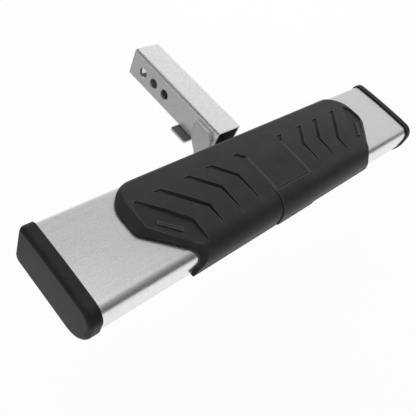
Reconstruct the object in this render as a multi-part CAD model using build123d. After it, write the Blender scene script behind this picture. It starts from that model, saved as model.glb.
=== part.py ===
"""Hitch receiver step: a hollow bright step bar with a moulded tread pad and end caps,
carried on a square shank that slides into a vehicle's receiver tube.

Units are millimetres. +X runs along the step, +Y points to the vehicle, +Z is up.
The origin is on the shank's centre line, at the middle pin hole.
"""
import math
import os

from build123d import *

os.makedirs("parts", exist_ok=True)

# Driving dimensions

# Shank: standard 2 inch square receiver tube with three pin positions
SHANK_SIZE = 50.8
SHANK_WALL = 4.8
SHANK_CORNER = 6.0
SHANK_LENGTH = 203.2
PIN_HOLE_D = 16.7
PIN_PITCH = 27.2
PIN_MARGIN = 29.5
PIN_COUNT = 3

# Step tube: D-shaped section, flat rear and bottom, crowned top, round nose
STEP_GAP = 16.5
STEP_LENGTH = 707.0
STEP_DEPTH = 134.0
STEP_TOP = 30.7
STEP_BOTTOM = -31.2
STEP_CROWN = 1.9
STEP_WALL = 2.0
REAR_RADIUS = 8.5
NOSE_TOP_RADIUS = 17.0
NOSE_BOTTOM_RADIUS = 30.0

# End caps: moulded covers that slip over the tube's ends, with fins that grip inside
CAP_SKIRT = 16.5
CAP_WALL = 2.4
CAP_END_WALL = 3.0
CAP_EDGE_RADIUS = 7.0
CAP_FIN_DEPTH = 26.0
CAP_FIN_T = 2.2
CAP_FIN_COUNT = 3

# Tread pad: a crown arc that rolls over into a nose arc and a short upright drop
PAD_LENGTH = 508.0
PAD_RISE = 13.5
PAD_CREST = 73.5
PAD_CROWN_RADIUS = 339.0
PAD_NOSE_RADIUS = 28.8
PAD_NOSE_PROUD = 6.6
PAD_LIP_DROP = 33.2
PAD_REAR = 3.8
PAD_REAR_CORNER = 42.0
PAD_SHOULDER_ROUND = 16.0
PAD_WAIST_ROUND = 24.0
PAD_EDGE_ROUND = 2.5
PAD_END_WALL = 4.3
PAD_BEVEL_ANGLE = 55.0
PAD_FOOT_FLARE = 8.0
PAD_FOOT_RISE = 14.5
PAD_NOSE_CUT = 9.5

# Tread: chevron channels with a flat floor, end pockets and the plain centre panel
TREAD_DEPTH = 4.8
POCKET_DEPTH = 4.4
FLOOR_TILT = 1.2
ARM_DRAFT = 2.4
WALL_DRAFT = 1.0
RIDGE_HEIGHT = 1.4
PANEL_HALF = 42.0
PANEL_RIB = 5.4
PANEL_RAISE = 1.6
RIB_SLOPE = 2.3
RIB_FALL = 1.4
PANEL_REAR = 49.0
PANEL_FRONT = 111.5
PANEL_PROUD = 1.5
PANEL_LIP = 2.5
GROOVE_WIDTH = 2.2
GROOVE_DEPTH = 1.3

# Pad fixing: moulded tabs through slots in the tube's top wall, held by push-on clips
TAB_WIDTH = 10.0
TAB_T = 3.2
TAB_LENGTH = 9.0
TAB_ROOT = 4.0
TAB_INNER_X = 59.0
TAB_END_INSET = 79.0
TAB_V = 58.0
CLIP_WIDTH = 18.0
CLIP_DEPTH = 12.0
CLIP_T = 1.0

# Bracket: two side plates on the shank, a seat plate under the step and a stop plate
PLATE_T = 6.0
SIDE_GRIP = 44.0
SIDE_TOP_DROP = 8.0
SIDE_BELLY = 19.8
SIDE_TOE = 6.8
SIDE_TOE_SET = 2.0
SIDE_ROUND = 10.0
SEAT_T = 6.0
SEAT_WIDTH = 126.0
SEAT_DEPTH = 88.0
SEAT_REAR = 14.0
SEAT_CORNER = 10.0
STOP_WIDTH = 77.4
STOP_LENGTH = 34.0
STOP_T = 4.0
STOP_CORNER = 2.5
STOP_FROM_END = 128.4
WELD_LEG = 5.0
WELD_END = 4.0

# Bolts, washers and the tapped strips inside the tube
BOLT_D = 8.0
BOLT_HOLE_D = 9.0
BOLT_SIDE_INSET = 15.0
BOLT_EDGE_INSET = 18.0
BOLT_PAST_STRIP = 2.5
HEAD_FLATS = 13.0
HEAD_H = 5.3
WASHER_OD = 16.0
WASHER_T = 1.6
STRIP_END = 12.0
STRIP_WIDTH = 22.0
STRIP_T = 6.0

# Clearances
MOULD_GAP = 0.3
FIN_GAP = 0.4
CAP_END_GAP = 1.0
SLOT_GAP = 0.5
CLIP_GAP = 0.2
THREAD_GAP = 0.3
WASHER_GAP = 0.3

# Derived positions
HALF = SHANK_SIZE / 2
SHANK_END_Y = PIN_MARGIN + PIN_PITCH * (PIN_COUNT - 1) / 2
SHANK_NEAR_Y = SHANK_END_Y - SHANK_LENGTH
STEP_REAR_Y = SHANK_NEAR_Y - STEP_GAP
STEP_FRONT_Y = STEP_REAR_Y - STEP_DEPTH
STEP_HALF = STEP_LENGTH / 2
CAP_INNER_X = STEP_HALF + CAP_END_GAP
CAP_HALF = CAP_INNER_X + CAP_END_WALL
CAP_LIP_X = CAP_HALF - CAP_SKIRT
PAD_HALF = PAD_LENGTH / 2
PAD_LIP_Z = STEP_TOP - PAD_LIP_DROP
SEAT_BOTTOM = STEP_BOTTOM - SEAT_T
TUBE_FLOOR = STEP_BOTTOM + STEP_WALL
BOLT_X = SEAT_WIDTH / 2 - BOLT_SIDE_INSET
BOLT_REAR_V = SEAT_REAR + BOLT_EDGE_INSET
BOLT_FRONT_V = SEAT_REAR + SEAT_DEPTH - BOLT_EDGE_INSET
CUT_TOP = STEP_TOP + STEP_DEPTH


def step_y(v):
    """Row-frame Y of a point v millimetres forward of the step's rear face."""
    return STEP_REAR_Y - v


def in_plan(points):
    """Closed polygon on the XY plane from (x, v) points."""
    return make_face(Polyline([(x, step_y(v)) for x, v in points], close=True))


def plan_prism(face, low):
    """Upright prism of a plan face, from a height to well above the step."""
    return extrude(Pos(0, 0, low) * face, CUT_TOP - low, dir=(0, 0, 1))


def mirror_pair(shape):
    """A right-hand shape and its left-hand twin."""
    return [shape, mirror(shape, Plane.YZ)]


# Step tube

def step_section(grow=0.0):
    """Outline of the step tube in the YZ plane, grown outward by an offset."""
    edge_z = STEP_TOP - STEP_CROWN
    mid_y = (STEP_REAR_Y + STEP_FRONT_Y) / 2
    rear_top = (STEP_REAR_Y, edge_z)
    front_top = (STEP_FRONT_Y, edge_z)
    front_low = (STEP_FRONT_Y, STEP_BOTTOM)
    rear_low = (STEP_REAR_Y, STEP_BOTTOM)
    crown = ThreePointArc(rear_top, (mid_y, STEP_TOP), front_top)
    sides = Polyline(front_top, front_low, rear_low, rear_top)
    outline = make_face(crown + sides)
    for spot, radius in (
        (rear_top, REAR_RADIUS),
        (front_top, NOSE_TOP_RADIUS),
        (front_low, NOSE_BOTTOM_RADIUS),
        (rear_low, REAR_RADIUS),
    ):
        corner = outline.vertices().sort_by_distance((spot[0], spot[1], 0))[0]
        outline = fillet(corner, radius)
    if grow:
        outline = offset(outline, grow)
    return Plane.YZ * outline


def section_bar(grow, x_from, x_to):
    """Solid bar of the step section between two X stations."""
    face = Pos(x_from, 0, 0) * step_section(grow)
    return extrude(face, x_to - x_from, dir=(1, 0, 0))


bolt_spots = [(x, step_y(v)) for x in (-BOLT_X, BOLT_X) for v in (BOLT_REAR_V, BOLT_FRONT_V)]
tab_x = PAD_HALF - TAB_END_INSET
tab_spots = [(x, step_y(TAB_V)) for x in (-tab_x, -TAB_INNER_X, TAB_INNER_X, tab_x)]

step_tube = section_bar(0, -STEP_HALF, STEP_HALF)
step_tube -= section_bar(-STEP_WALL, -STEP_HALF, STEP_HALF)
for x, y in bolt_spots:
    step_tube -= Pos(x, y, TUBE_FLOOR) * Cylinder(BOLT_HOLE_D / 2, 4 * STEP_WALL)
slot = Box(TAB_WIDTH + 2 * SLOT_GAP, TAB_T + 2 * SLOT_GAP, 4 * STEP_WALL)
for x, y in tab_spots:
    step_tube -= Pos(x, y, STEP_TOP - STEP_WALL) * slot


# End caps

def soft_end(bar, radius):
    """Round a bar's +X end edge as three flats that touch a quarter circle."""
    corner_cut = radius * (2 - math.sqrt(2))
    flank_cut = radius * (math.tan(math.pi / 8) - math.tan(math.pi / 16))
    end_x = bar.bounding_box().max.X
    bar = chamfer(bar.faces().sort_by(Axis.X)[-1].edges(), corner_cut)
    for x in (end_x, end_x - corner_cut):
        bar = chamfer(bar.edges().filter_by_position(Axis.X, x - 0.01, x + 0.01), flank_cut)
    return bar


def end_cap():
    """Right-hand cap: soft-edged shell, end wall and crossed fins inside the tube."""
    cap = soft_end(section_bar(CAP_WALL, CAP_LIP_X, CAP_HALF), CAP_EDGE_RADIUS)
    cap -= section_bar(MOULD_GAP, CAP_LIP_X, CAP_INNER_X)
    fin_x = CAP_HALF - CAP_FIN_DEPTH
    core = section_bar(-STEP_WALL - FIN_GAP, fin_x, CAP_INNER_X)
    tall = STEP_TOP - STEP_BOTTOM
    for i in range(CAP_FIN_COUNT):
        fin_v = STEP_DEPTH * (i + 1) / (CAP_FIN_COUNT + 1)
        cap += core & Pos(CAP_HALF, step_y(fin_v), 0) * Box(2 * CAP_FIN_DEPTH, CAP_FIN_T, 2 * tall)
    web = Box(2 * CAP_FIN_DEPTH, 2 * STEP_DEPTH, CAP_FIN_T)
    return cap + (core & Pos(CAP_HALF, step_y(STEP_DEPTH / 2), (STEP_TOP + STEP_BOTTOM) / 2) * web)


cap_right = end_cap()
cap_left = mirror(cap_right, Plane.YZ)


# Tread pad

# Corners of the end outline at the nose, as shares of the pad's half length and the depth
WAIST = (0.8189, 0.8731)
NOSE_END = (0.7559, 1.1642)


def pad_point(x_share, v_share):
    """Plan point given as shares of the pad's half length and of the step's depth."""
    return (x_share * PAD_HALF, v_share * STEP_DEPTH)


def pad_block(grow=0.0, drop=0.0):
    """Bar under the pad's skin line: crown arc, tangent nose arc and upright drop."""
    front_v = STEP_DEPTH + PAD_NOSE_PROUD + grow
    crown_r = PAD_CROWN_RADIUS + grow
    nose_r = PAD_NOSE_RADIUS + grow
    crown_z = STEP_TOP + PAD_RISE - PAD_CROWN_RADIUS
    nose_v = front_v - nose_r
    reach = crown_r - nose_r
    nose_z = crown_z + math.sqrt(reach ** 2 - (nose_v - PAD_CREST) ** 2)
    turn = math.atan2(nose_z - crown_z, nose_v - PAD_CREST)

    def on_arc(v, z, radius, angle):
        return (step_y(v + radius * math.cos(angle)), z + radius * math.sin(angle))

    rear_turn = math.acos(-PAD_CREST / crown_r)
    rear = on_arc(PAD_CREST, crown_z, crown_r, rear_turn)
    blend = on_arc(PAD_CREST, crown_z, crown_r, turn)
    nose_end = on_arc(nose_v, nose_z, nose_r, 0)
    crown = ThreePointArc(rear, on_arc(PAD_CREST, crown_z, crown_r, (rear_turn + turn) / 2), blend)
    nose = ThreePointArc(blend, on_arc(nose_v, nose_z, nose_r, turn / 2), nose_end)
    rest = Polyline(nose_end, (nose_end[0], PAD_LIP_Z), (rear[0], PAD_LIP_Z), rear)
    face = Plane.YZ * make_face(crown + nose + rest)
    return extrude(Pos(-PAD_LENGTH, 0, -drop) * face, 2 * PAD_LENGTH, dir=(1, 0, 0))


def pad_plan():
    """Plan outline of the pad: round rear corners, pointed ends, narrower nose."""
    rear_corner = (PAD_HALF, PAD_REAR)
    shoulder = pad_point(1.0, 0.5448)
    waist = pad_point(*WAIST)
    right = [rear_corner, shoulder, waist, pad_point(*NOSE_END)]
    left = [(-x, v) for x, v in reversed(right)]
    plan = in_plan(right + left)
    for (x, v), radius in (
        (rear_corner, PAD_REAR_CORNER),
        (shoulder, PAD_SHOULDER_ROUND),
        (waist, PAD_WAIST_ROUND),
    ):
        for side in (-1, 1):
            corner = plan.vertices().sort_by_distance((side * x, step_y(v), 0))[0]
            plan = fillet(corner, radius)
    return plan


def pad_bounds():
    """Block over the pad's plan: upright end walls that turn into a shallow bevel."""
    low = PAD_LIP_Z - PAD_EDGE_ROUND
    high = STEP_TOP + PAD_RISE + MOULD_GAP
    block = extrude(Pos(0, 0, low) * pad_plan(), high - low, dir=(0, 0, 1))
    bevel_h = high - STEP_TOP - PAD_END_WALL
    bevel_w = bevel_h * math.tan(math.radians(PAD_BEVEL_ANGLE))
    top = block.faces().sort_by(Axis.Z)[-1]
    return chamfer(top.edges(), bevel_w, bevel_h, reference=top)


def nose_end_x():
    """X of the end outline at the front of the nose."""
    share = ((STEP_DEPTH + PAD_NOSE_PROUD) / STEP_DEPTH - WAIST[1]) / (NOSE_END[1] - WAIST[1])
    return PAD_HALF * (WAIST[0] + share * (NOSE_END[0] - WAIST[0]))


def lip_foot():
    """Right-hand end of the lip, flared out below the nose."""
    nose_x = nose_end_x()
    root_x = nose_x - 2 * PAD_FOOT_FLARE
    outline = make_face(Polyline([
        (nose_x, PAD_LIP_Z + PAD_FOOT_RISE), (nose_x + PAD_FOOT_FLARE, PAD_LIP_Z),
        (root_x, PAD_LIP_Z), (root_x, PAD_LIP_Z + PAD_FOOT_RISE),
    ], close=True))
    face = Pos(0, step_y(STEP_DEPTH / 2), 0) * (Plane.XZ * outline)
    return extrude(face, STEP_DEPTH, dir=(0, -1, 0))


def nose_corner(side):
    """Plane that takes the corner off the nose at one end, from the waist down to the lip foot."""
    waist_x, waist_v = pad_point(*WAIST)
    front_v = STEP_DEPTH + PAD_NOSE_PROUD
    high = Vector(side * waist_x, step_y(waist_v), STEP_TOP + PAD_END_WALL)
    low = Vector(side * nose_end_x(), step_y(front_v), PAD_LIP_Z + PAD_FOOT_RISE)
    inner_x = (waist_x + nose_end_x()) / 2 - PAD_NOSE_CUT
    inner = Vector(side * inner_x, step_y((waist_v + front_v) / 2), high.Z)
    return Plane(high, z_dir=(inner - high).cross(low - high) * side)


def inset(points, shifts):
    """Polygon with each side moved inward by its own distance."""
    count = len(points)
    area = sum(x0 * v1 - x1 * v0 for (x0, v0), (x1, v1) in zip(points, points[1:] + points[:1]))
    lines = []
    for i in range(count):
        (x0, v0), (x1, v1) = points[i], points[(i + 1) % count]
        run = math.copysign(math.hypot(x1 - x0, v1 - v0), area)
        nx, nv = (v0 - v1) / run, (x1 - x0) / run
        lines.append((nx, nv, nx * x0 + nv * v0 + shifts[i]))
    corners = []
    for i in range(count):
        (a, b, p), (c, d, q) = lines[i - 1], lines[i]
        det = a * d - b * c
        corners.append(((p * d - b * q) / det, (a * q - p * c) / det))
    return corners


def recess(shares, drafts, depth):
    """Cutter for a recess below the crest: sides that lean inward, floor that falls to the front."""
    crest = STEP_TOP + PAD_RISE
    points = [pad_point(*share) for share in shares]
    wide = inset(points, [-0.2 * draft for draft in drafts])
    low = Pos(0, 0, crest - depth) * in_plan(inset(points, drafts))
    high = Pos(0, 0, crest + 0.2 * depth) * in_plan(wide)
    pivot = Pos(0, step_y(PAD_CREST), crest)
    return pivot * Rot(FLOOR_TILT, 0, 0) * pivot.inverse() * loft([low, high], ruled=True)


# Outline of each channel on the right half, inner to outer, at the height of the crest:
# inner start, inner bend, tip, outer bend, outer start
CHEVRONS = (
    ((0.3740, 0.2560), (0.2854, 0.4851), (0.2906, 0.9440), (0.3098, 0.5037), (0.4370, 0.2560)),
    ((0.5433, 0.2560), (0.4331, 0.5224), (0.4362, 0.9440), (0.4575, 0.5410), (0.6043, 0.2560)),
    ((0.7421, 0.2560), (0.5768, 0.6306), (0.5807, 0.9478), (0.6012, 0.6493), (0.8051, 0.2560)),
)
ARM_ENDS = ((0.1713, 0.2560), (0.1339, 0.3507), (0.1850, 0.3507), (0.2323, 0.2560))
# Shallow pocket near each end, around a low slanted ridge
POCKET = (
    (0.9020, 0.2575), (0.7165, 0.6828), (0.7146, 0.9328), (0.7598, 0.9328),
    (0.8150, 0.8433), (0.9508, 0.5373), (0.9508, 0.3731), (0.9291, 0.2910),
)
RIDGE = ((0.8780, 0.5373), (0.7913, 0.7127), (0.8071, 0.7351), (0.8937, 0.5597))

skin_block = pad_block()
pad = skin_block & pad_bounds()
for foot in mirror_pair(lip_foot()):
    pad += skin_block & foot
for side in (-1, 1):
    pad = split(pad, nose_corner(side), keep=Keep.BOTTOM)
long_edges = pad.edges().filter_by(Axis.X)
lip_edge = long_edges.sort_by_distance((0, step_y(STEP_DEPTH + PAD_NOSE_PROUD), PAD_LIP_Z))[0]
pad = fillet(lip_edge, PAD_EDGE_ROUND)

# Channels and end pockets: the crown falls away to their flat floors at front and rear
cutters = [recess(ARM_ENDS, (ARM_DRAFT, WALL_DRAFT, ARM_DRAFT, WALL_DRAFT), TREAD_DEPTH)]
for shares in CHEVRONS:
    drafts = (ARM_DRAFT, WALL_DRAFT, WALL_DRAFT, ARM_DRAFT, WALL_DRAFT)
    cutters.append(recess(shares, drafts, TREAD_DEPTH))
pocket = recess(POCKET, (ARM_DRAFT,) + (WALL_DRAFT,) * 7, POCKET_DEPTH)
ridge_low = STEP_TOP + PAD_RISE - POCKET_DEPTH
ridge_face = in_plan([pad_point(*share) for share in RIDGE])
ridge = extrude(Pos(0, 0, ridge_low) * ridge_face, RIDGE_HEIGHT, dir=(0, 0, 1), both=True)
cutters.append(pocket - ridge)
for shape in cutters:
    for cutter in mirror_pair(shape):
        pad -= cutter

# Plain centre panel: two roof-shaped side ribs, a proud plate over the nose and a groove behind it
rib_in = PANEL_HALF - PANEL_RIB
rib = in_plan([
    (rib_in, PANEL_REAR), (PANEL_HALF, PANEL_REAR),
    (PANEL_HALF, PANEL_FRONT), (rib_in, PANEL_FRONT),
])
side_rib = plan_prism(rib, STEP_TOP) & pad_block(grow=PANEL_RAISE)
roof = side_rib.faces().sort_by(Axis.Z)[-1]
side_rib = chamfer(roof.edges().sort_by(SortBy.LENGTH)[-2:], RIB_SLOPE, RIB_FALL, reference=roof)
for twin in mirror_pair(side_rib):
    pad += twin
past_nose = 2 * STEP_DEPTH
nose_zone = in_plan([
    (-PANEL_HALF, PANEL_FRONT), (PANEL_HALF, PANEL_FRONT),
    (PANEL_HALF, past_nose), (-PANEL_HALF, past_nose),
])
pad += plan_prism(nose_zone, PAD_LIP_Z + PANEL_LIP) & pad_block(grow=PANEL_PROUD)
groove = in_plan([
    (-rib_in, PANEL_FRONT - GROOVE_WIDTH), (rib_in, PANEL_FRONT - GROOVE_WIDTH),
    (rib_in, PANEL_FRONT), (-rib_in, PANEL_FRONT),
])
pad -= plan_prism(groove, 0) - pad_block(drop=GROOVE_DEPTH)

# Underside follows the tube, with moulded tabs through the slots in its top wall
pad -= section_bar(MOULD_GAP, -PAD_LENGTH, PAD_LENGTH)
hang = (Align.CENTER, Align.CENTER, Align.MAX)
tab = Box(TAB_WIDTH, TAB_T, TAB_LENGTH + TAB_ROOT, align=hang)
for x, y in tab_spots:
    pad += Pos(x, y, STEP_TOP + TAB_ROOT) * tab

# Push-on clips on the tabs, under the tube's top wall
clip = Box(CLIP_WIDTH, CLIP_DEPTH, CLIP_T, align=hang)
clip -= Box(TAB_WIDTH + 2 * CLIP_GAP, TAB_T + 2 * CLIP_GAP, 4 * CLIP_T)
clip_z = STEP_TOP - STEP_WALL - MOULD_GAP
clips = [Pos(x, y, clip_z) * clip for x, y in tab_spots]

# Shank

def shank_bar(size, radius):
    """Straight rounded-square bar over the shank's length."""
    face = Pos(0, SHANK_END_Y, 0) * (Plane.XZ * RectangleRounded(size, size, radius))
    return extrude(face, SHANK_LENGTH, dir=(0, -1, 0))


shank = shank_bar(SHANK_SIZE, SHANK_CORNER)
shank -= shank_bar(SHANK_SIZE - 2 * SHANK_WALL, SHANK_CORNER - SHANK_WALL)
for i in range(PIN_COUNT):
    pin_y = PIN_PITCH * (i - (PIN_COUNT - 1) / 2)
    shank -= Pos(0, pin_y, 0) * Rot(0, 90, 0) * Cylinder(PIN_HOLE_D / 2, 2 * SHANK_SIZE)

# Side plates: flat on the shank's sides, sweeping down to run under the step
near_v = -STEP_GAP
heel_v = near_v - SIDE_GRIP
plate_top = HALF - SIDE_TOP_DROP
toe_v = SEAT_REAR + SEAT_DEPTH - SIDE_TOE_SET
toe_z = SEAT_BOTTOM - SIDE_TOE
edge_top = (near_v - 0.27 * SIDE_GRIP, plate_top)
edge_low = (near_v - 0.077 * SIDE_GRIP, 0.205 * HALF)
# Corner points (v, z), each with its rounding as a multiple of the basic round
SIDE_PLATE = (
    ((heel_v + 0.055 * SIDE_GRIP, plate_top), 0.3),
    ((heel_v, 0.0), 1.0),
    ((heel_v + 0.14 * SIDE_GRIP, -0.6 * HALF), 2.0),
    ((heel_v + 0.4 * SIDE_GRIP, -1.14 * HALF), 2.8),
    ((near_v, SEAT_BOTTOM - SIDE_BELLY), 1.2),
    ((toe_v - 0.1 * SEAT_DEPTH, toe_z - 0.28 * SIDE_BELLY), 0.8),
    ((toe_v, toe_z), 0.0),
    ((toe_v, SEAT_BOTTOM), 0.0),
    ((0.26 * near_v, SEAT_BOTTOM), 1.0),
    ((near_v - 0.045 * SIDE_GRIP, -0.913 * HALF), 1.8),
    (edge_low, 0.0),
    (edge_top, 0.0),
)


def side_plate():
    """Right-hand bracket plate, flat against the shank's side wall."""
    spots = [(step_y(v), z) for (v, z), _ in SIDE_PLATE]
    face = make_face(Polyline(spots, close=True))
    for spot, (_, rounding) in zip(spots, SIDE_PLATE):
        if rounding:
            corner = face.vertices().sort_by_distance((*spot, 0))[0]
            face = fillet(corner, rounding * SIDE_ROUND)
    return extrude(Pos(HALF, 0, 0) * (Plane.YZ * face), PLATE_T, dir=(1, 0, 0))


plate_right = side_plate()
plate_left = mirror(plate_right, Plane.YZ)

# Seat plate under the step tube
seat_y = step_y(SEAT_REAR + SEAT_DEPTH / 2)
seat_face = RectangleRounded(SEAT_WIDTH, SEAT_DEPTH, SEAT_CORNER)
seat = extrude(Pos(0, seat_y, SEAT_BOTTOM) * seat_face, SEAT_T, dir=(0, 0, 1))
for x, y in bolt_spots:
    seat -= Pos(x, y, SEAT_BOTTOM) * Cylinder(BOLT_HOLE_D / 2, 4 * SEAT_T)

# Stop plate under the shank
stop_y = SHANK_END_Y - STOP_FROM_END - STOP_LENGTH / 2
stop_face = RectangleRounded(STOP_WIDTH, STOP_LENGTH, STOP_CORNER)
stop_plate = extrude(Pos(0, stop_y, -HALF - STOP_T) * stop_face, STOP_T, dir=(0, 0, 1))

# Bolt set: washer and hex bolt into a tapped strip inside the tube
washer_z = SEAT_BOTTOM - WASHER_T
strip_top = TUBE_FLOOR + STRIP_T
stand = (Align.CENTER, Align.CENTER, Align.MIN)


def hex_bolt():
    """Hex bolt with the underside of its head at the origin."""
    head = extrude(RegularPolygon(HEAD_FLATS / 2, 6, major_radius=False), -HEAD_H)
    length = strip_top + BOLT_PAST_STRIP - washer_z
    return head + Cylinder((BOLT_D - THREAD_GAP) / 2, length, align=stand)


def tapped_strip(v):
    """Flat bar on the tube's floor with a tapped hole at each bolt."""
    strip = Box(2 * (BOLT_X + STRIP_END), STRIP_WIDTH, STRIP_T, align=stand)
    for x in (-BOLT_X, BOLT_X):
        strip -= Pos(x, 0, 0) * Cylinder((BOLT_D + THREAD_GAP) / 2, 4 * STRIP_T)
    return Pos(0, step_y(v), TUBE_FLOOR) * strip


washer = extrude(Circle(WASHER_OD / 2) - Circle(BOLT_D / 2 + WASHER_GAP), WASHER_T)
washers = [Pos(x, y, washer_z) * washer for x, y in bolt_spots]
bolts = [Pos(x, y, washer_z) * hex_bolt() for x, y in bolt_spots]
strip_rear = tapped_strip(BOLT_REAR_V)
strip_front = tapped_strip(BOLT_FRONT_V)

# Weld beads: rounded fillets along the joints

def bead(start, along, side, up, length, leg):
    """Convex fillet bead: starts at a corner point, runs along, leans on side and up."""
    plane = Plane(origin=start, x_dir=side, z_dir=along)
    sign = 1 if plane.y_dir.dot(Vector(up)) > 0 else -1
    bulge = 0.62 * leg
    legs = Polyline((leg, 0), (0, 0), (0, sign * leg))
    cap = ThreePointArc((0, sign * leg), (bulge, sign * bulge), (leg, 0))
    return extrude(plane * make_face(legs + cap), length, dir=along)


# Side plates to the shank, along each plate's slanted front edge
edge_from = Vector(HALF, step_y(edge_top[0]), edge_top[1])
edge_to = Vector(HALF, step_y(edge_low[0]), edge_low[1])
edge_dir = (edge_to - edge_from).normalized()
edge_out = Vector(0, edge_dir.Z, -edge_dir.Y)
edge_run = (edge_to - edge_from).length - WELD_END
side_weld = bead(edge_from + edge_dir * WELD_END / 2, edge_dir, (1, 0, 0), edge_out, edge_run, WELD_LEG)
side_welds = mirror_pair(side_weld)

# Side plates to the seat plate, along their outer faces
seat_start = (HALF + PLATE_T, step_y(SEAT_REAR + WELD_END), SEAT_BOTTOM)
seat_run = SEAT_DEPTH - SIDE_TOE_SET - 2 * WELD_END
seat_welds = mirror_pair(bead(seat_start, (0, -1, 0), (1, 0, 0), (0, 0, -1), seat_run, WELD_LEG))

# Stop plate to the shank's flat underside, across both ends of the plate
stop_leg = 0.85 * STOP_T
stop_run = SHANK_SIZE - 2 * SHANK_CORNER - 2 * WELD_END
stop_welds = []
for end in (-1, 1):
    stop_start = (-stop_run / 2, stop_y + end * STOP_LENGTH / 2, -HALF)
    stop_welds.append(bead(stop_start, (1, 0, 0), (0, end, 0), (0, 0, -1), stop_run, stop_leg))

PARTS = {
    "step_tube": step_tube,
    "step_pad": pad,
    "end_cap_left": cap_left,
    "end_cap_right": cap_right,
    "shank_tube": shank,
    "side_plate_left": plate_left,
    "side_plate_right": plate_right,
    "seat_plate": seat,
    "stop_plate": stop_plate,
    "mount_bolts": Compound(children=bolts),
    "bolt_washers": Compound(children=washers),
    "nut_strip_rear": strip_rear,
    "nut_strip_front": strip_front,
    "pad_push_nuts": Compound(children=clips),
    "side_plate_welds": Compound(children=side_welds),
    "seat_welds": Compound(children=seat_welds),
    "stop_welds": Compound(children=stop_welds),
}
for name, shape in PARTS.items():
    export_step(shape, f"parts/{name}.step")
    print(name, round(shape.volume), len(shape.solids()), shape.is_valid)
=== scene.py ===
# %% [markdown]
# # A hitch receiver step, dressed for its photograph
#
# This lesson takes a step that was drawn as CAD parts and gives it the looks of the real thing.
# The step slides into the square receiver of a tow hitch.  It is a hollow bar of bright metal with
# black caps in its ends and a black tread pad on top, and it hangs on a square tube by two plates.
#
# The CAD parts hold the shape, so they stay where they are.  What is added here is what a drawing
# leaves out: softened edges, rippled welds, turned bolt heads, and the surface of each material.

import math

import bmesh
import bpy
from mathutils import Matrix, Vector


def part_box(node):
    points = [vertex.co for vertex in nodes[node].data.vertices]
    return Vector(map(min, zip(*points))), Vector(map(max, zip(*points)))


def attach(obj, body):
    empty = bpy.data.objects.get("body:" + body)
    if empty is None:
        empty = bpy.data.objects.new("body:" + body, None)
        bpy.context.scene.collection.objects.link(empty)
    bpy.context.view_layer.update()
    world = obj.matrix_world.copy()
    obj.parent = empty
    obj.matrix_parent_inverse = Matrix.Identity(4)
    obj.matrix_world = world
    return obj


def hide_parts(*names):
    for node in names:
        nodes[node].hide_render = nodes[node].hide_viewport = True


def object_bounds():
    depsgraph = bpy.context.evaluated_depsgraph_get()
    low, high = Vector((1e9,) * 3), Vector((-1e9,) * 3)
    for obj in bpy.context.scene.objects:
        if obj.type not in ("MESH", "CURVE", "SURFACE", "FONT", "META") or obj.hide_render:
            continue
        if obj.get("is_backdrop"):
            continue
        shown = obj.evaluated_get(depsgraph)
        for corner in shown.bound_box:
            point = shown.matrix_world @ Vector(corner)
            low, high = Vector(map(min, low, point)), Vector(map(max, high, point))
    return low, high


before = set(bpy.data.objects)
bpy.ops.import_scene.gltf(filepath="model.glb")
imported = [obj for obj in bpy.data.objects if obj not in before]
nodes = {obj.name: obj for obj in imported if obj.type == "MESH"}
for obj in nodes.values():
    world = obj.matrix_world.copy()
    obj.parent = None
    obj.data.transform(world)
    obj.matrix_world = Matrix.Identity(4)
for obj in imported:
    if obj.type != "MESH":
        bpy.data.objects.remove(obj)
cad_box = [list(corner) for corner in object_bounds()]

print("parts of the drawing:", len(nodes))
for name in sorted(nodes):
    print("  ", name, len(nodes[name].data.polygons), "faces")
print("box of the drawing:", [[round(v, 4) for v in corner] for corner in cad_box])

# %% [markdown]
# ## The camera
#
# A photograph has one place that it was taken from.  Here that place was worked out from edges that
# are known to be straight and parallel on a real step: the edges of the square tube, of the caps and
# of the pad.  The camera stood up and to the left of the step and was tilted by some twenty degrees,
# which is why the step runs uphill across the picture.
#
# Blender wants a camera as a matrix.  Its columns are the directions to the right, upwards and
# backwards as the camera sees them.  Writing the three directions out is easier to check than three
# angles would be.

# %% Place the camera
SENSOR = 36.0            # mm across
PICTURE = 416.0          # dots across
FOCAL_DOTS = 525.96      # focal length in dots of the picture
FOCAL = FOCAL_DOTS / PICTURE * SENSOR

camera_place = Vector((-0.5623, -0.4454, 0.5109))
to_right = Vector((0.6899724, -0.6413417, 0.3355874))
to_down = Vector((-0.3609055, -0.7066975, -0.6085440))
to_front = Vector((0.6274435, 0.2987632, -0.7190655))

camera_data = bpy.data.cameras.new("camera")
camera_data.sensor_width = SENSOR
camera_data.lens = FOCAL
camera_data.clip_start = 0.01
camera = bpy.data.objects.new("camera", camera_data)
bpy.context.scene.collection.objects.link(camera)
turn = Matrix((to_right, -to_down, -to_front)).transposed().to_4x4()
camera.matrix_world = Matrix.Translation(camera_place) @ turn
bpy.context.scene.camera = camera
bpy.context.scene.view_settings.view_transform = "Standard"

print("focal length, mm:", round(FOCAL, 2))

# %% [markdown]
# ## The studio
#
# The photograph is a studio picture on white.  Bright metal has hardly a colour of its own, so what
# it shows is the room: pale paper walls, a white floor, and something darker in front.  The dark line
# along the front edge of the bar is such a wall, seen in the bend of the metal.
#
# So the room is built in the same way.  One lamp hangs above and another stands behind, so that edges
# and slopes stand out.  The floor is white and lies as far below the step as a road lies below a
# hitch.  Paper walls stand behind and in front, and a dark curtain hangs on the left.  The camera does
# not see these walls, as in a studio, where they stand outside the picture.

# %% Even light from all around
def node_tree(owner):
    """Empty the node tree of a material or a world, and give its nodes and links."""
    owner.use_nodes = True
    tree = owner.node_tree
    tree.nodes.clear()
    return tree.nodes, tree.links


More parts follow.
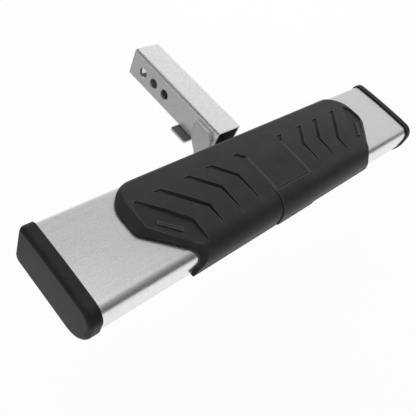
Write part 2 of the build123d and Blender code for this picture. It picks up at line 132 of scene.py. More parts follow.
def seen_directly(made, links):
    """1 for rays that show the background itself: from the camera, from a gloss, through a glass."""
    path = made.new("ShaderNodeLightPath")
    first = made.new("ShaderNodeMath")
    first.operation = "MAXIMUM"
    links.new(path.outputs["Is Camera Ray"], first.inputs[0])
    links.new(path.outputs["Is Glossy Ray"], first.inputs[1])
    both = made.new("ShaderNodeMath")
    both.operation = "MAXIMUM"
    links.new(first.outputs[0], both.inputs[0])
    links.new(path.outputs["Is Transmission Ray"], both.inputs[1])
    return both.outputs[0]


FLOOR_Z = -0.42      # a hitch stands about this far above the road
FILL_LIGHT = 0.50    # strength of the even light from all around

world = bpy.data.worlds.new("studio")
bpy.context.scene.world = world
made, links = node_tree(world)
fill = made.new("ShaderNodeBackground")
fill.inputs["Color"].default_value = (0.97, 0.98, 1.0, 1.0)
fill.inputs["Strength"].default_value = FILL_LIGHT
white = made.new("ShaderNodeBackground")
white.inputs["Color"].default_value = (1.0, 1.0, 1.0, 1.0)
white.inputs["Strength"].default_value = 1.0
mix = made.new("ShaderNodeMixShader")
out = made.new("ShaderNodeOutputWorld")
links.new(seen_directly(made, links), mix.inputs[0])
links.new(fill.outputs[0], mix.inputs[1])
links.new(white.outputs[0], mix.inputs[2])
links.new(mix.outputs[0], out.inputs["Surface"])
print("floor at", FLOOR_Z, "m, even light of strength", FILL_LIGHT)

# %% Two lamps
STEP_MIDDLE = Vector((0, -0.2, 0))


def soft_lamp(name, place, side, watts):
    """A wide square lamp that looks at the middle of the step."""
    data = bpy.data.lights.new(name, "AREA")
    data.shape = "RECTANGLE"
    data.size, data.size_y = side, side
    data.energy = watts
    piece = bpy.data.objects.new(name, data)
    piece.location = place
    aim = STEP_MIDDLE - piece.location
    piece.rotation_euler = aim.to_track_quat("-Z", "Y").to_euler()
    bpy.context.scene.collection.objects.link(piece)
    return piece


top_lamp = soft_lamp("top_lamp", (-1.2, 0.4, 2.3), side=1.3, watts=20.0)
back_lamp = soft_lamp("back_lamp", (1.5, 1.3, 1.9), side=2.2, watts=50.0)
for lamp in (top_lamp, back_lamp):
    lamp.visible_glossy = False      # a gloss shows the walls of the studio instead

print("lamps at", [tuple(round(v, 2) for v in lamp.location) for lamp in (top_lamp, back_lamp)])

# %% [markdown]
# The floor is a plain sheet.  It takes light like any white board, so the step's shadow falls on it,
# and a glow that only the camera and the glosses see lifts it to the clean white of the photograph.

# %% Lay the floor
def sheet(name, corners, faces):
    """A mesh object made from corners and faces."""
    mesh = bpy.data.meshes.new(name)
    mesh.from_pydata(corners, [], faces)
    mesh.update()
    piece = bpy.data.objects.new(name, mesh)
    bpy.context.scene.collection.objects.link(piece)
    return piece


def flat_sheet(name, low_x, low_y, high_x, high_y, z):
    """A level rectangle between two corners."""
    corners = [(low_x, low_y, z), (high_x, low_y, z), (high_x, high_y, z), (low_x, high_y, z)]
    return sheet(name, corners, [(0, 1, 2, 3)])


FLOOR_HALF = 14.0    # metres
CLEAN_WHITE = 0.92   # share of the glow where the floor is seen directly
floor = flat_sheet("floor", -FLOOR_HALF, -FLOOR_HALF, FLOOR_HALF, FLOOR_HALF, FLOOR_Z)
floor_paint = bpy.data.materials.new("floor_white")
made, links = node_tree(floor_paint)
board = made.new("ShaderNodeBsdfDiffuse")
fleck = made.new("ShaderNodeTexNoise")
fleck.inputs["Scale"].default_value = 3.0
tint = made.new("ShaderNodeValToRGB")
tint.color_ramp.elements[0].color = (0.78, 0.78, 0.78, 1)
tint.color_ramp.elements[1].color = (0.83, 0.83, 0.83, 1)
links.new(fleck.outputs["Fac"], tint.inputs["Fac"])
links.new(tint.outputs["Color"], board.inputs["Color"])
glow = made.new("ShaderNodeEmission")
glow.inputs["Strength"].default_value = 1.0
lift = made.new("ShaderNodeMixShader")
share = made.new("ShaderNodeMath")
share.operation = "MULTIPLY"
share.inputs[1].default_value = CLEAN_WHITE
out = made.new("ShaderNodeOutputMaterial")
links.new(seen_directly(made, links), share.inputs[0])
links.new(share.outputs[0], lift.inputs[0])
links.new(board.outputs[0], lift.inputs[1])
links.new(glow.outputs[0], lift.inputs[2])
links.new(lift.outputs[0], out.inputs["Surface"])
floor.data.materials.append(floor_paint)
floor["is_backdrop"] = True

print("floor", round(2 * FLOOR_HALF), "m wide")

# %% [markdown]
# The walls are arcs of upright sheets.  The curtain on the left is dark cloth.  It draws the dark line
# along the rounded corner of the square tube.  A grey card lies on the floor beside that tube.
# Photographers lay one there to give a pale side some depth.  Both are there for the gloss, so they
# are hidden from diffuse light.

# %% Hang the curtain and lay the card
ROOM_RADIUS = 3.2    # metres
SHEETS = 40          # flat sheets in each wall
WALL_TOP = 6.6
CARD_LIFT = 0.004    # the card lies this far above the floor
COOL = 1.03          # grey cloth has a touch of blue


def arc_wall(name, start, stop, foot, top):
    """Upright sheets round the room, between two angles in degrees and two heights in metres."""
    rim = []
    for i in range(SHEETS + 1):
        turn = math.radians(start + (stop - start) * i / SHEETS)
        rim.append((ROOM_RADIUS * math.cos(turn), ROOM_RADIUS * math.sin(turn)))
    points = [(x, y, foot) for x, y in rim] + [(x, y, top) for x, y in rim]
    wall = sheet(name, points, [(i, i + 1, SHEETS + 2 + i, SHEETS + 1 + i) for i in range(SHEETS)])
    wall.visible_camera = False
    wall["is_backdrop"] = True
    return wall


side_curtain = arc_wall("side_curtain", start=84.0, stop=250.0, foot=FLOOR_Z + 0.15, top=WALL_TOP)
side_curtain.visible_diffuse = False
card = flat_sheet("floor_card", -1.7, 0.10, -0.16, 1.6, FLOOR_Z + CARD_LIFT)
card.visible_camera = False
card.visible_shadow = False
card.visible_diffuse = False
card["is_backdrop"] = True


def grey_cloth(piece, dark, light):
    """A dull woven grey for a piece of the studio."""
    paint = bpy.data.materials.new(piece.name + "_cloth")
    made, links = node_tree(paint)
    cloth = made.new("ShaderNodeBsdfDiffuse")
    weave = made.new("ShaderNodeTexNoise")
    weave.inputs["Scale"].default_value = 6.0
    tint = made.new("ShaderNodeValToRGB")
    tint.color_ramp.elements[0].color = (dark, dark, dark * COOL, 1)
    tint.color_ramp.elements[1].color = (light, light, light * COOL, 1)
    links.new(weave.outputs["Fac"], tint.inputs["Fac"])
    links.new(tint.outputs["Color"], cloth.inputs["Color"])
    end = made.new("ShaderNodeOutputMaterial")
    links.new(cloth.outputs[0], end.inputs["Surface"])
    piece.data.materials.append(paint)


grey_cloth(side_curtain, dark=0.10, light=0.15)
grey_cloth(card, dark=0.24, light=0.30)
print("cloth on", side_curtain.name, "and", card.name)

# %% [markdown]
# The paper walls give light of their own.  A wall could be white and lit by a lamp, but then every
# change of the lamp would change the step as well.  A glow that depends on the height is simpler to
# set: the height is read from the wall's own coordinates and turned into a strength.
#
# The far wall is brighter below than above, and the top of the bar shows that as a slow change of
# tone.  The front wall is almost black at its foot and gets lighter upwards, so the bend of the bar
# turns from grey to a dark line and then, below the wall's foot, to white.

# %% Put up the paper walls
def lit_paper(wall, low_z, high_z, low, high):
    """Paper with a lamp behind it: its glow runs from low to high between two heights."""
    paint = bpy.data.materials.new(wall.name + "_paper")
    made, links = node_tree(paint)
    height = made.new("ShaderNodeSeparateXYZ")
    links.new(made.new("ShaderNodeTexCoord").outputs["Object"], height.inputs[0])
    fade = made.new("ShaderNodeMapRange")
    ends = {"From Min": low_z, "From Max": high_z, "To Min": low, "To Max": high}
    for socket, value in ends.items():
        fade.inputs[socket].default_value = value
    links.new(height.outputs["Z"], fade.inputs["Value"])
    paper = made.new("ShaderNodeEmission")
    links.new(fade.outputs[0], paper.inputs["Strength"])
    end = made.new("ShaderNodeOutputMaterial")
    links.new(paper.outputs[0], end.inputs["Surface"])
    wall.data.materials.append(paint)


far_wall = arc_wall("far_wall", start=-22.0, stop=80.0, foot=FLOOR_Z, top=WALL_TOP)
lit_paper(far_wall, low_z=0.0, high_z=5.5, low=0.79, high=0.46)
front_wall = arc_wall("front_wall", start=250.0, stop=338.0, foot=0.45, top=WALL_TOP)
lit_paper(front_wall, low_z=1.0, high_z=6.0, low=0.08, high=0.46)

print("stage pieces:", [piece.name for piece in (floor, side_curtain, card, far_wall, front_wall)])

# %% [markdown]
# ## A small kit for finishes
#
# Every finish below is made from the same few things: a grain that lies in the part's own
# coordinates, in metres, and a way to turn that grain into a range of values or colours.  A grain
# with one slow axis gives the long lines of a brushed metal.  A grain with three equal axes gives
# the pebbles of a moulded plastic.

# %% A kit for plain surfaces
GRAIN_LOW, GRAIN_HIGH = 0.3, 0.7     # noise seldom leaves this range


class Finish:
    """A material under construction: a principled shader and the grains that drive it."""

    def __init__(self, name):
        self.material = bpy.data.materials.new(name)
        self.nodes, self.links = node_tree(self.material)
        self.shader = self.nodes.new("ShaderNodeBsdfPrincipled")
        self.end = self.nodes.new("ShaderNodeOutputMaterial")
        self.links.new(self.shader.outputs[0], self.end.inputs["Surface"])
        self.place = self.nodes.new("ShaderNodeTexCoord").outputs["Object"]

    def grain(self, per_metre, detail=2.0, rough=0.5):
        """Noise with so many grains to the metre along x, y and z."""
        stretch = self.nodes.new("ShaderNodeMapping")
        stretch.inputs["Scale"].default_value = per_metre
        self.links.new(self.place, stretch.inputs["Vector"])
        noise = self.nodes.new("ShaderNodeTexNoise")
        noise.inputs["Scale"].default_value = 1.0
        noise.inputs["Detail"].default_value = detail
        noise.inputs["Roughness"].default_value = rough
        self.links.new(stretch.outputs[0], noise.inputs["Vector"])
        return noise.outputs["Fac"]

    def blend(self, a, b, share):
        """A grain made from two grains."""
        join = self.nodes.new("ShaderNodeMix")
        join.inputs["Factor"].default_value = share
        self.links.new(a, join.inputs["A"])
        self.links.new(b, join.inputs["B"])
        return join.outputs["Result"]

    def colour(self, grain, dark, light):
        """Colour that runs from dark to light with the grain."""
        ramp = self.nodes.new("ShaderNodeValToRGB")
        ramp.color_ramp.elements[0].position = GRAIN_LOW
        ramp.color_ramp.elements[1].position = GRAIN_HIGH
        ramp.color_ramp.elements[0].color = (*dark, 1)
        ramp.color_ramp.elements[1].color = (*light, 1)
        self.links.new(grain, ramp.inputs["Fac"])
        self.links.new(ramp.outputs["Color"], self.shader.inputs["Base Color"])

    def roughness(self, grain, low, high):
        """Roughness that runs from low to high with the grain."""
        span = self.nodes.new("ShaderNodeMapRange")
        span.inputs["From Min"].default_value = GRAIN_LOW
        span.inputs["From Max"].default_value = GRAIN_HIGH
        span.inputs["To Min"].default_value = low
        span.inputs["To Max"].default_value = high
        self.links.new(grain, span.inputs["Value"])
        self.links.new(span.outputs[0], self.shader.inputs["Roughness"])

    def relief(self, grain, depth, strength):
        """Tiny hills as deep as depth, in metres."""
        bump = self.nodes.new("ShaderNodeBump")
        bump.inputs["Distance"].default_value = depth
        bump.inputs["Strength"].default_value = strength
        self.links.new(grain, bump.inputs["Height"])
        self.links.new(bump.outputs[0], self.shader.inputs["Normal"])

    def set(self, **values):
        """Even values, straight on the shader's sockets."""
        for name, value in values.items():
            self.shader.inputs[name.replace("_", " ")].default_value = value


print("kit for plain surfaces ready")

# %% [markdown]
# Some parts need more than one even surface.  Corners get painted shade and outer edges a painted
# highlight, and a second surface may cover one zone of a part.  Such places could be painted by hand
# on an unwrapped mesh.  Here the shader works them out, from the walls that stand near and from the
# place in the part's own coordinates, so no picture has to be stored.

# %% A kit for corners, edges and zones
WALLED_IN, OPEN = 0.45, 0.95         # about what a square corner and a flat face give


class ZonedFinish(Finish):
    """A finish with painted shade in corners and a painted highlight on edges, or a second surface in a
    zone.
    """

    def paint_shade_and_highlight(self, reach, factor, edges=False):
        """Scale the colour by factor within reach, in metres: painted shade in corners, painted
        highlight on edges.
        """
        corner = self.nodes.new("ShaderNodeAmbientOcclusion")
        corner.samples = 12
        corner.only_local = True
        corner.inside = edges
        corner.inputs["Distance"].default_value = reach
        span = self.nodes.new("ShaderNodeMapRange")
        span.inputs["From Min"].default_value = WALLED_IN
        span.inputs["From Max"].default_value = OPEN
        span.inputs["To Min"].default_value = factor
        span.inputs["To Max"].default_value = 1.0
        self.links.new(corner.outputs["AO"], span.inputs["Value"])
        shade = self.nodes.new("ShaderNodeVectorMath")
        shade.operation = "SCALE"
        colour = self.shader.inputs["Base Color"]
        self.links.new(colour.links[0].from_socket, shade.inputs[0])
        self.links.new(span.outputs[0], shade.inputs["Scale"])
        self.links.new(shade.outputs[0], colour)

    def band(self, axis, low, high, both_sides=False):
        """1 where x, y or z lies between low and high, on both sides of the middle if wanted."""
        axes = self.nodes.new("ShaderNodeSeparateXYZ")
        self.links.new(self.place, axes.inputs[0])
        reach = axes.outputs[axis]
        if both_sides:
            size = self.nodes.new("ShaderNodeMath")
            size.operation = "ABSOLUTE"
            self.links.new(reach, size.inputs[0])
            reach = size.outputs[0]
        near = self.nodes.new("ShaderNodeMath")
        near.operation = "COMPARE"
        near.inputs[1].default_value = (low + high) / 2
        near.inputs[2].default_value = (high - low) / 2
        self.links.new(reach, near.inputs[0])
        return near.outputs[0]

    def patch(self, bands, grain, dark, light, rough, gloss):
        """A second surface in the zone where all the bands cross."""
        other = self.nodes.new("ShaderNodeBsdfPrincipled")
        other.inputs["Roughness"].default_value = rough
        other.inputs["Specular IOR Level"].default_value = gloss
        tone = self.nodes.new("ShaderNodeValToRGB")
        tone.color_ramp.elements[0].color = (*dark, 1)
        tone.color_ramp.elements[1].color = (*light, 1)
        self.links.new(grain, tone.inputs["Fac"])
        self.links.new(tone.outputs["Color"], other.inputs["Base Color"])
        zone = bands[0]
        for one in bands[1:]:
            cross = self.nodes.new("ShaderNodeMath")
            cross.operation = "MULTIPLY"
            self.links.new(zone, cross.inputs[0])
            self.links.new(one, cross.inputs[1])
            zone = cross.outputs[0]
        either = self.nodes.new("ShaderNodeMixShader")
        self.links.new(zone, either.inputs[0])
        self.links.new(self.shader.outputs[0], either.inputs[1])
        self.links.new(other.outputs[0], either.inputs[2])
        self.links.new(either.outputs[0], self.end.inputs["Surface"])


print("kit for zones ready")

# %% [markdown]
# ## The bright bar
#
# The bar is stainless sheet, bent to a flat tube and rubbed along its length with a fine abrasive.
# The lines run along x, so the grain is slow in x and quick in y and z.  A second, even grain stands
# for the small specks that the photograph shows.  It is all metal, so its colour is the tint of what
# it reflects.

# %% Brushed metal for the bar
stainless = Finish("brushed_stainless")
lines = stainless.grain((14.0, 1500.0, 1500.0), detail=3.0)
specks = stainless.grain((430.0, 430.0, 430.0), detail=3.0)
both = stainless.blend(lines, specks, share=0.6)
stainless.set(Metallic=1.0)
stainless.colour(both, (0.74, 0.74, 0.745), (0.96, 0.96, 0.96))
stainless.roughness(both, low=0.27, high=0.37)
stainless.relief(both, depth=0.00004, strength=0.25)
print("made", stainless.material.name)

# %% [markdown]
# ## The tread pad and the caps
#
# Both are black moulded plastic.  The pad has a dull, pebbled skin, so that a shoe does not slip: its
# gloss is low and its relief is strong.  The caps come from a smoother mould, so their pebbles are
# finer and flatter.  A plain black would look like a hole in the picture, so each has a slow cloud of
# lighter and darker tone in it as well.  The two ribs beside the pad's plain middle panel get paler
# strips of painted highlight, a second surface of their own, which is placed by its distance from the
# middle of the pad.
#
# Painted shade lies in the corners of the tread and makes its channels look deeper, and a painted
# highlight lies on its outer edges.  The ambient occlusion node finds both, because it tells how much
# of a place is walled in by what stands near.  Looking outwards it finds the corners, and looking into
# the plastic it finds the edges.

# %% The skin of the pad
RIB_ACROSS = (0.0366, 0.0420)       # from the middle of the pad, metres
RIB_ALONG = (-0.2745, -0.2120)      # along y
pad_skin = ZonedFinish("pad_pebbled_black")
pebbles = pad_skin.grain((1100.0, 1100.0, 1100.0), detail=2.0)
clouds = pad_skin.grain((45.0, 45.0, 45.0), detail=3.0)
both = pad_skin.blend(pebbles, clouds, share=0.4)
pad_skin.set(Specular_IOR_Level=0.15)
pad_skin.colour(both, (0.019, 0.019, 0.0205), (0.033, 0.033, 0.035))
# Painted shade: darker colour in the tread's corners.  Painted highlight: paler colour on its outer
# edges.
pad_skin.paint_shade_and_highlight(reach=0.0045, factor=0.80)
pad_skin.paint_shade_and_highlight(reach=0.0018, factor=3.0, edges=True)
pad_skin.roughness(pebbles, low=0.38, high=0.50)
pad_skin.relief(pebbles, depth=0.00012, strength=0.35)
# Painted highlight: paler strips on the two ribs beside the middle panel.
pad_skin.patch([pad_skin.band("X", *RIB_ACROSS, both_sides=True), pad_skin.band("Y", *RIB_ALONG)],
               clouds, (0.040, 0.040, 0.042), (0.058, 0.058, 0.061), rough=0.46, gloss=0.3)
print("made", pad_skin.material.name)

# %% The skin of the caps
cap_skin = Finish("cap_satin_black")
pebbles = cap_skin.grain((1700.0, 1700.0, 1700.0), detail=2.0)
clouds = cap_skin.grain((60.0, 60.0, 60.0), detail=3.0)
both = cap_skin.blend(pebbles, clouds, share=0.5)
cap_skin.set(Specular_IOR_Level=0.13)
cap_skin.colour(both, (0.014, 0.014, 0.0152), (0.026, 0.026, 0.028))
cap_skin.roughness(both, low=0.40, high=0.52)
cap_skin.relief(pebbles, depth=0.00006, strength=0.25)
print("made", cap_skin.material.name)

# %% [markdown]
# ## The tube and the plates that carry the step
#
# These are steel under a satin silver coat.  A coat with metal flakes in it behaves partly like paint
# and partly like metal: it has a light colour of its own and still mirrors the dark cloth in its
# rounded corners.  A metal share below one gives that, and the tube, which shines more than the
# plates, gets a larger share.  The flakes are a fine grain, and a slow grain stands for the slight
# waves of a coat that was sprayed on.
#
# Inside the tube, apart from the open end, is dull rolled steel: partly the bare steel's own colour,
# partly painted shade.  The top of the small stop plate, which sits close below the tube, is dark too:
# a painted shadow of the tube.  A second surface covers such places, and the distance from the middle
# says which of the two is used.

# %% A satin silver coat
def silver_coat(name, dark, light, low, high, metal=0.45):
    """A satin coat with metal flakes."""
    coat = ZonedFinish(name)
    flakes = coat.grain((900.0, 900.0, 900.0), detail=4.0)
    waves = coat.grain((130.0, 130.0, 130.0), detail=2.0)
    mixed = coat.blend(flakes, waves, share=0.35)
    coat.set(Metallic=metal)
    coat.colour(mixed, dark, light)
    coat.roughness(mixed, low, high)
    coat.relief(mixed, depth=0.00002, strength=0.2)
    return coat


print("coat ready")

# %% Coats for the tube, the plates and the stop plate
shank_coat = silver_coat("shank_silver_coat", (0.84, 0.84, 0.84), (0.96, 0.96, 0.96), 0.22, 0.30,
                         metal=0.75)
plate_coat = silver_coat("plate_silver_coat", (0.46, 0.46, 0.46), (0.58, 0.58, 0.58), 0.34, 0.46)
INSIDE = (-0.022, 0.022)            # within the tube's walls, metres
DARK_INSIDE_ALONG = (-0.2, 0.046)        # along y: the dark inside stops short of the open end
# The dark rolled steel inside the tube is partly the bare steel's own colour, partly painted shade.
rolled = shank_coat.grain((90.0, 30.0, 90.0), detail=4.0)
shank_coat.patch([shank_coat.band("X", *INSIDE), shank_coat.band("Z", *INSIDE),
                  shank_coat.band("Y", *DARK_INSIDE_ALONG)], rolled,
                 (0.08, 0.078, 0.075), (0.18, 0.175, 0.17), rough=0.62, gloss=0.5)

stop_coat = silver_coat("stop_silver_coat", (0.62, 0.62, 0.62), (0.76, 0.76, 0.755), 0.34, 0.46)
STOP_TOP = (-0.0257, -0.0250)       # a thin layer round the plate's upper face, where the tube's shadow is painted
BEHIND_PINS = (-0.2, 0.0)           # along y
# Painted shadow: the stop plate's top face under the tube gets a dark second surface.
waves = stop_coat.grain((180.0, 180.0, 180.0), detail=3.0)
stop_coat.patch([stop_coat.band("Z", *STOP_TOP), stop_coat.band("Y", *BEHIND_PINS)], waves,
                (0.09, 0.09, 0.09), (0.15, 0.15, 0.15), rough=0.55, gloss=0.4)
print("made", [coat.material.name for coat in (shank_coat, plate_coat, stop_coat)])

# %% [markdown]
# ## Fasteners, clips and welds
#
# Bolts, washers and the threaded strips are zinc plated: a metal with a faint warm tint and a cloudy
# gloss.  The clips that hold the pad are bare spring steel, darker and a little oily.  Weld metal
# glints more than the plate beside it, since the coat lies thin on its ripples.

# %% Zinc, spring steel and weld metal
zinc = Finish("zinc_plate")
clouds = zinc.grain((260.0, 260.0, 260.0), detail=4.0)
zinc.set(Metallic=1.0)
zinc.colour(clouds, (0.52, 0.52, 0.50), (0.68, 0.68, 0.65))
zinc.roughness(clouds, low=0.26, high=0.42)
zinc.relief(clouds, depth=0.00003, strength=0.2)

spring = Finish("spring_steel")
rolled = spring.grain((60.0, 900.0, 900.0), detail=3.0)
spring.set(Metallic=1.0)
spring.colour(rolled, (0.20, 0.20, 0.205), (0.32, 0.32, 0.32))
spring.roughness(rolled, low=0.28, high=0.42)
spring.relief(rolled, depth=0.00003, strength=0.2)

weld_metal = Finish("weld_metal")
crust = weld_metal.grain((700.0, 700.0, 700.0), detail=4.0)
weld_metal.set(Metallic=0.6)
weld_metal.colour(crust, (0.58, 0.58, 0.575), (0.86, 0.86, 0.85))
weld_metal.roughness(crust, low=0.14, high=0.30)
weld_metal.relief(crust, depth=0.00012, strength=0.35)
print("made", zinc.material.name, spring.material.name, weld_metal.material.name)

# %% [markdown]
# ## Finishes go on, and edges are softened
#
# A drawn edge has no width.  A real one is always a little round, and that small round is what
# catches the light and makes a thing look solid.  A bevel modifier rounds only the edges that turn
# by more than a set angle, so smooth bends stay as they are.  Before it, a planar decimate joins the
# triangles of each flat face, so that the bevel sees the true outlines.  Nothing in the mesh itself
# is changed.

# %% Put the finishes on
FLAT_TURN = 0.4      # degrees: triangles that turn by less are one flat face
SHARP_TURN = 32.0    # degrees: edges that turn by more are rounded
EDGE_STEPS = 2


def soften(part, width):
    """Round the sharp edges of a part by width, in metres."""
    flat = part.modifiers.new("flat_faces", "DECIMATE")
    flat.decimate_type = "DISSOLVE"
    flat.angle_limit = math.radians(FLAT_TURN)
    edge = part.modifiers.new("soft_edges", "BEVEL")
    edge.width = width
    edge.segments = EDGE_STEPS
    edge.limit_method = "ANGLE"
    edge.angle_limit = math.radians(SHARP_TURN)
    edge.harden_normals = True
    edge.use_clamp_overlap = True


looks = {
    "step_tube": (stainless, 0.0),
    "step_pad": (pad_skin, 0.0005),
    "end_cap_left": (cap_skin, 0.0),
    "end_cap_right": (cap_skin, 0.0),
    "shank_tube": (shank_coat, 0.0005),
    "side_plate_left": (plate_coat, 0.0006),
    "side_plate_right": (plate_coat, 0.0006),
    "seat_plate": (plate_coat, 0.0006),
    "stop_plate": (stop_coat, 0.0004),
    "bolt_washers": (zinc, 0.0002),
    "nut_strip_rear": (zinc, 0.0004),
    "nut_strip_front": (zinc, 0.0004),
    "pad_push_nuts": (spring, 0.0),
}
for name, (finish, width) in looks.items():
    part = nodes[name]
    part.data.materials.clear()
    part.data.materials.append(finish.material)
    if width:
        soften(part, width)
print("finished", len(looks), "parts")

# %% [markdown]
# ## Weld beads
#
# A weld is laid as a row of small molten pools, each half over the one before, so a bead looks like
# a row of fallen coins.  The bead here is a quarter round that is carried along a seam in steps.  Its
# size swells with every pool, and the middle of each pool runs ahead of its edges, which bends the
# ripples into arcs.  Both ends are drawn in to a rounded stop.

# %% A kit for weld beads
POOL = 0.0021        # from one pool to the next, metres
ARC = 8              # steps across the bead
PER_POOL = 6         # stations along each pool
FEWEST = 12          # stations along the shortest bead
STOP = 1.1           # the ends are drawn in over this many legs
STUB = 0.06          # share of the size that is left at the very end
AHEAD = 0.45         # the middle of a pool runs ahead by this share of a pool
SHIFT = 0.37         # each bead starts at another place in its pools


def weld_bead(corners, faces, start, end, side, up, leg, pool=POOL, swell=0.16, phase=0.0):
    """Add one rippled bead between start and end, in the corner of the directions side and up."""
    start, end, side, up = (Vector(v) for v in (start, end, side, up))
    along = (end - start).normalized()
    length = (end - start).length
    stations = max(FEWEST, int(length / (pool / PER_POOL)))
    first = len(corners)
    for i in range(stations + 1):
        t = length * i / stations
        ends = min(t, length - t) / (STOP * leg)
        draw_in = math.sqrt(max(0.0, 1 - (1 - min(1.0, ends)) ** 2)) * (1 - STUB) + STUB
        ripple = abs(math.sin(math.pi * (t / pool + phase)))
        size = leg * draw_in * (1 - swell + swell * ripple)
        place = start + along * t
        corners.append(place)
        for k in range(ARC + 1):
            a = 0.5 * math.pi * k / ARC
            ahead = AHEAD * pool * math.sin(2 * a) * min(1.0, ends)
            ahead = min(ahead, length - t)
            out = side * (size * math.cos(a)) + up * (size * math.sin(a))
            corners.append(place + out + along * ahead)
    row = ARC + 2
    for i in range(stations):
        a, b = first + i * row, first + (i + 1) * row
        for k in range(row):
            n = (k + 1) % row
            faces.append((a + k, a + n, b + n, b + k))
    faces.append(tuple(range(first + row - 1, first - 1, -1)))
    last = first + stations * row
    faces.append(tuple(range(last, last + row)))


def closed_piece(name, corners, faces, finish):
    """A mesh piece with its faces turned outwards and one finish."""
    piece = sheet(name, corners, faces)
    work = bmesh.new()
    work.from_mesh(piece.data)
    bmesh.ops.recalc_face_normals(work, faces=work.faces)
    work.to_mesh(piece.data)
    work.free()
    piece.data.materials.append(finish.material)
    return piece


def bead_piece(name, beads):
    """One mesh piece from a list of beads, shaded smooth."""
    corners, faces = [], []
    for number, bead in enumerate(beads):
        weld_bead(corners, faces, *bead, phase=SHIFT * number)
    piece = closed_piece(name, corners, faces, weld_metal)
    for face in piece.data.polygons:
        face.use_smooth = True
    return piece


print("bead kit ready: a pool every", POOL * 1000, "mm")

# %% [markdown]
# The seams are read off the drawn parts.  Each side plate is welded to the tube along its sloping
# front edge, both plates are welded to the seat plate from outside, and the stop plate is welded to
# the tube along its front and rear edges.

# %% Lay the beads
LUMP_LEG = 0.0062    # the beads beside the plates are coarse, with few large pools
LUMP_POOL = 0.0052
LUMP_SWELL = 0.62
TOP_INSET = (0.0001, 0.0018)     # from the drawn weld's box to the seam, along y and z
LOW_INSET = (0.0032, -0.0005)
seams = {}

plate_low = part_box("side_plate_left")[0]
tube_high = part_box("shank_tube")[1]
edge_low, edge_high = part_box("side_plate_welds")
top_end = (edge_high.y - TOP_INSET[0], edge_high.z - TOP_INSET[1])
low_end = (edge_low.y + LOW_INSET[0], edge_low.z + LOW_INSET[1])
seams["side_plate_welds"] = []
for sign in (-1, 1):
    wall = sign * tube_high.x
    start = Vector((wall, top_end[0], top_end[1]))
    end = Vector((wall, low_end[0], low_end[1]))
    along = (end - start).normalized()
    up = Vector((0, -along.z, along.y))
    seams["side_plate_welds"].append((start, end, (sign, 0, 0), up, LUMP_LEG, LUMP_POOL, LUMP_SWELL))

seat_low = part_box("seat_plate")[0]
run_low, run_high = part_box("seat_welds")
seams["seat_welds"] = [((sign * abs(plate_low.x), run_high.y, seat_low.z),
                        (sign * abs(plate_low.x), run_low.y, seat_low.z),
                        (sign, 0, 0), (0, 0, -1), run_high.x - abs(plate_low.x)) for sign in (-1, 1)]

stop_low, stop_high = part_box("stop_plate")
run_low, run_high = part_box("stop_welds")
seams["stop_welds"] = [((run_low.x, edge, stop_high.z), (run_high.x, edge, stop_high.z),
                        (0, way, 0), (0, 0, -1), stop_high.z - run_low.z)
                       for edge, way in ((stop_high.y, 1), (stop_low.y, -1))]

for name, beads in seams.items():
    piece = bead_piece(name.replace("_welds", "_weld_beads"), beads)
    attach(piece, "root")
    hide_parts(name)
    print(piece.name, len(piece.data.polygons), "faces in", len(beads), "beads")

# %% [markdown]
# ## The four bolts
#
# Hex bolts hold the seat plate to the bar from below.  A bolt head is a hexagon that was turned on
# its outer face, so its corners are cut off by a shallow cone.  That is easy to write down: around
# the head the hexagon's radius changes with the angle, and where it is larger than the turned
# circle, the face falls back by the slope of the cone.  Above the head comes the thread, as rings.

# %% A kit for bolts
SIDES = 48           # points round a bolt
PITCH = 0.00125      # of the thread, metres
THREAD_DEPTH = 0.0004
TIP_TAPER = 0.0007
TURNED = 0.47        # radius of the turned face, as a share of the width across flats
DISH, LIP = 0.62, 0.70   # radii of the sunk middle, as shares of the turned face
DISH_DEPTH = 0.0003
CONE = math.radians(30)


def hex_radius(angle, flats):
    """Distance from the axis to the hexagon's side at this angle."""
    turn = (angle % (math.pi / 3)) - math.pi / 6
    return 0.5 * flats / math.cos(turn)


def lathe(corners, faces, rings):
    """Join rings of points, one to the next, and close both ends."""
    first = len(corners)
    count = len(rings[0])
    for ring_points in rings:
        corners.extend(ring_points)
    for i in range(len(rings) - 1):
        a, b = first + i * count, first + (i + 1) * count
        for k in range(count):
            n = (k + 1) % count
            faces.append((a + k, a + n, b + n, b + k))
    faces.append(tuple(range(first + count - 1, first - 1, -1)))
    last = first + (len(rings) - 1) * count
    faces.append(tuple(range(last, last + count)))


def round_ring(x, y, z, radius):
    """A level ring of points."""
    return [Vector((x + radius * math.cos(2 * math.pi * k / SIDES),
                    y + radius * math.sin(2 * math.pi * k / SIDES), z)) for k in range(SIDES)]


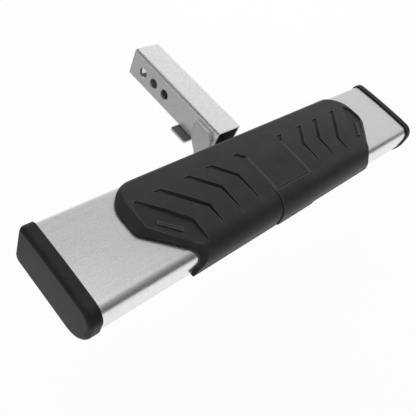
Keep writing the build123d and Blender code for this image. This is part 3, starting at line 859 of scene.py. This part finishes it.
def bolt(corners, faces, x, y, face_z, head_low, stem_top, flats, stem, spin):
    """A hex bolt that points up: its head between head_low and face_z, its stem up to stem_top."""
    turned = TURNED * flats
    outer, edge = [], []
    for k in range(SIDES):
        a = 2 * math.pi * k / SIDES
        radius = hex_radius(a - spin, flats)
        drop = max(0.0, radius - turned) * math.tan(CONE)
        direction = Vector((math.cos(a), math.sin(a), 0))
        outer.append(Vector((x, y, face_z)) + direction * radius)
        edge.append(Vector((x, y, head_low + drop)) + direction * radius)
    dish = round_ring(x, y, head_low + DISH_DEPTH, DISH * turned)
    lip = round_ring(x, y, head_low, LIP * turned)
    face = round_ring(x, y, head_low, turned)
    lathe(corners, faces, [dish, lip, face, edge, outer])
    rings = []
    z, deep = face_z, False
    while z < stem_top - PITCH:
        rings.append(round_ring(x, y, z, stem - (THREAD_DEPTH if deep else 0.0)))
        z, deep = z + PITCH / 2, not deep
    rings.append(round_ring(x, y, stem_top, stem - TIP_TAPER))
    lathe(corners, faces, rings)


print("bolt kit ready:", SIDES, "points round")

# %% Make the bolts
bolt_low, bolt_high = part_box("mount_bolts")
washer_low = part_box("bolt_washers")[0]
FLATS = 0.013        # width across flats, metres
STEM = 0.00385       # radius of the stem
bolt_y = (bolt_low.y + FLATS / 2, bolt_high.y - FLATS / 2)
bolt_x = bolt_high.x - FLATS / math.sqrt(3)
corners, faces = [], []
for x in (-bolt_x, bolt_x):
    for y in bolt_y:
        bolt(corners, faces, x, y, washer_low.z, bolt_low.z, bolt_high.z, FLATS, STEM, math.pi / 6)
bolts = closed_piece("hex_bolts", corners, faces, zinc)
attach(bolts, "root")
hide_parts("mount_bolts")
print("four bolts at x", round(bolt_x, 4), "y", [round(v, 4) for v in bolt_y])

# %% [markdown]
# ## Measure and close
#
# Last, the box around everything is measured again.  Looks should not make the step larger than its
# drawing, since other parts have to fit it, so both boxes are written down side by side.

# %% Measure and close
visual_box = [list(corner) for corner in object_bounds()]
for label, box in (("drawing", cad_box), ("looks", visual_box)):
    print(label, [round(1000 * (box[1][i] - box[0][i]), 2) for i in range(3)], "mm")
